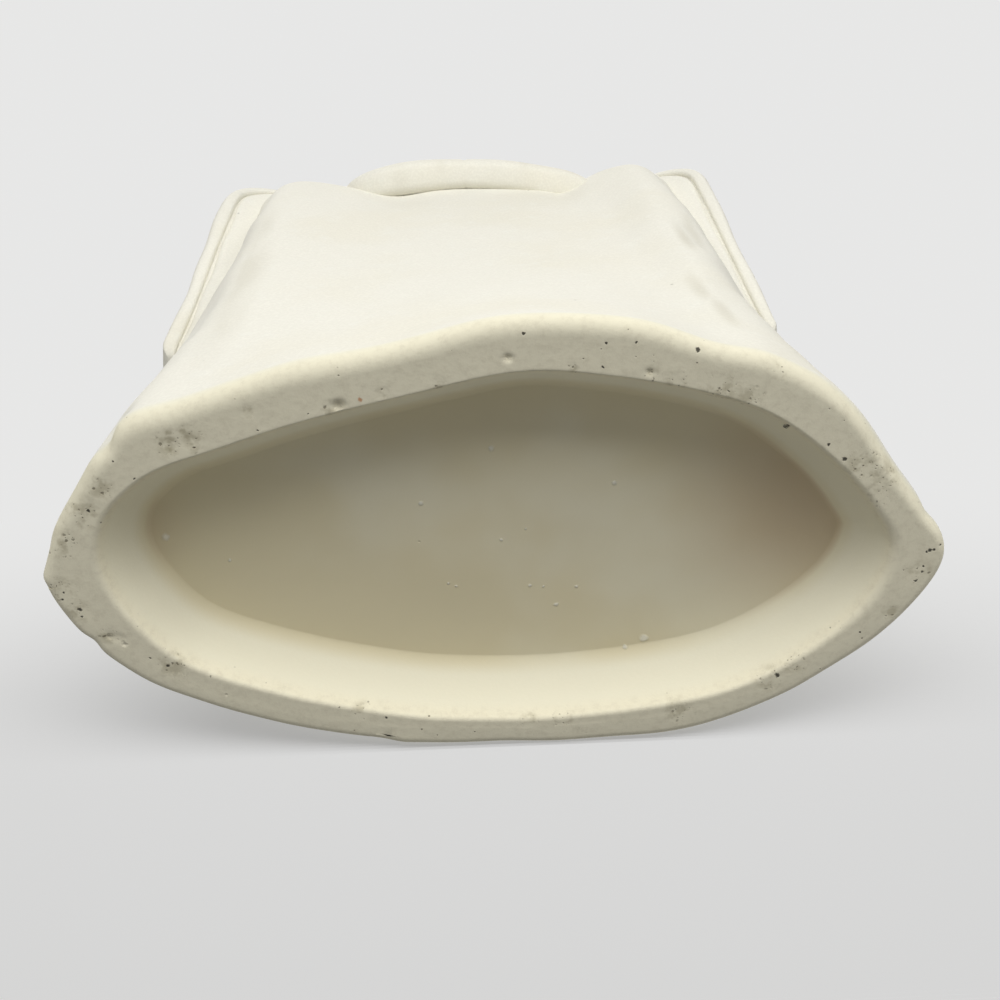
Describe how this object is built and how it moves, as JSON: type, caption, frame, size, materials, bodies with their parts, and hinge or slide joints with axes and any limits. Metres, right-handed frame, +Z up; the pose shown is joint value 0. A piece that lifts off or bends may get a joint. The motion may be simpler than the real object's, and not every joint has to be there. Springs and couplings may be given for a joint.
{
  "type": "vase",
  "caption": "Standing vase shaped like a wide-sleeved wrap robe, with a flared hem, a recessed foot, hanging sleeves and a rolled collar round the neck opening.",
  "frame": {"origin": "centre of the bounding box, on the plane that the foot rests on", "axes": "+Z up from the foot to the collar, -Y the front with the wrap, +Y the back, +X the left sleeve"},
  "size_m": [0.182, 0.0978, 0.2037],
  "materials": {
    "bisque": "matte unglazed cream-white fired clay",
    "foot": "matte unglazed fired clay, rubbed flat on the rim and slightly soiled"
  },
  "bodies": {
    "root": {"back_panel": "bisque", "front_over_panel": "bisque", "front_under_panel": "bisque", "foot_ring": "foot", "floor_slab": "foot", "sleeve_left_inner": "bisque", "sleeve_left_outer": "bisque", "sleeve_right_inner": "bisque", "sleeve_right_outer": "bisque", "collar": "bisque"}
  },
  "joints": []
}
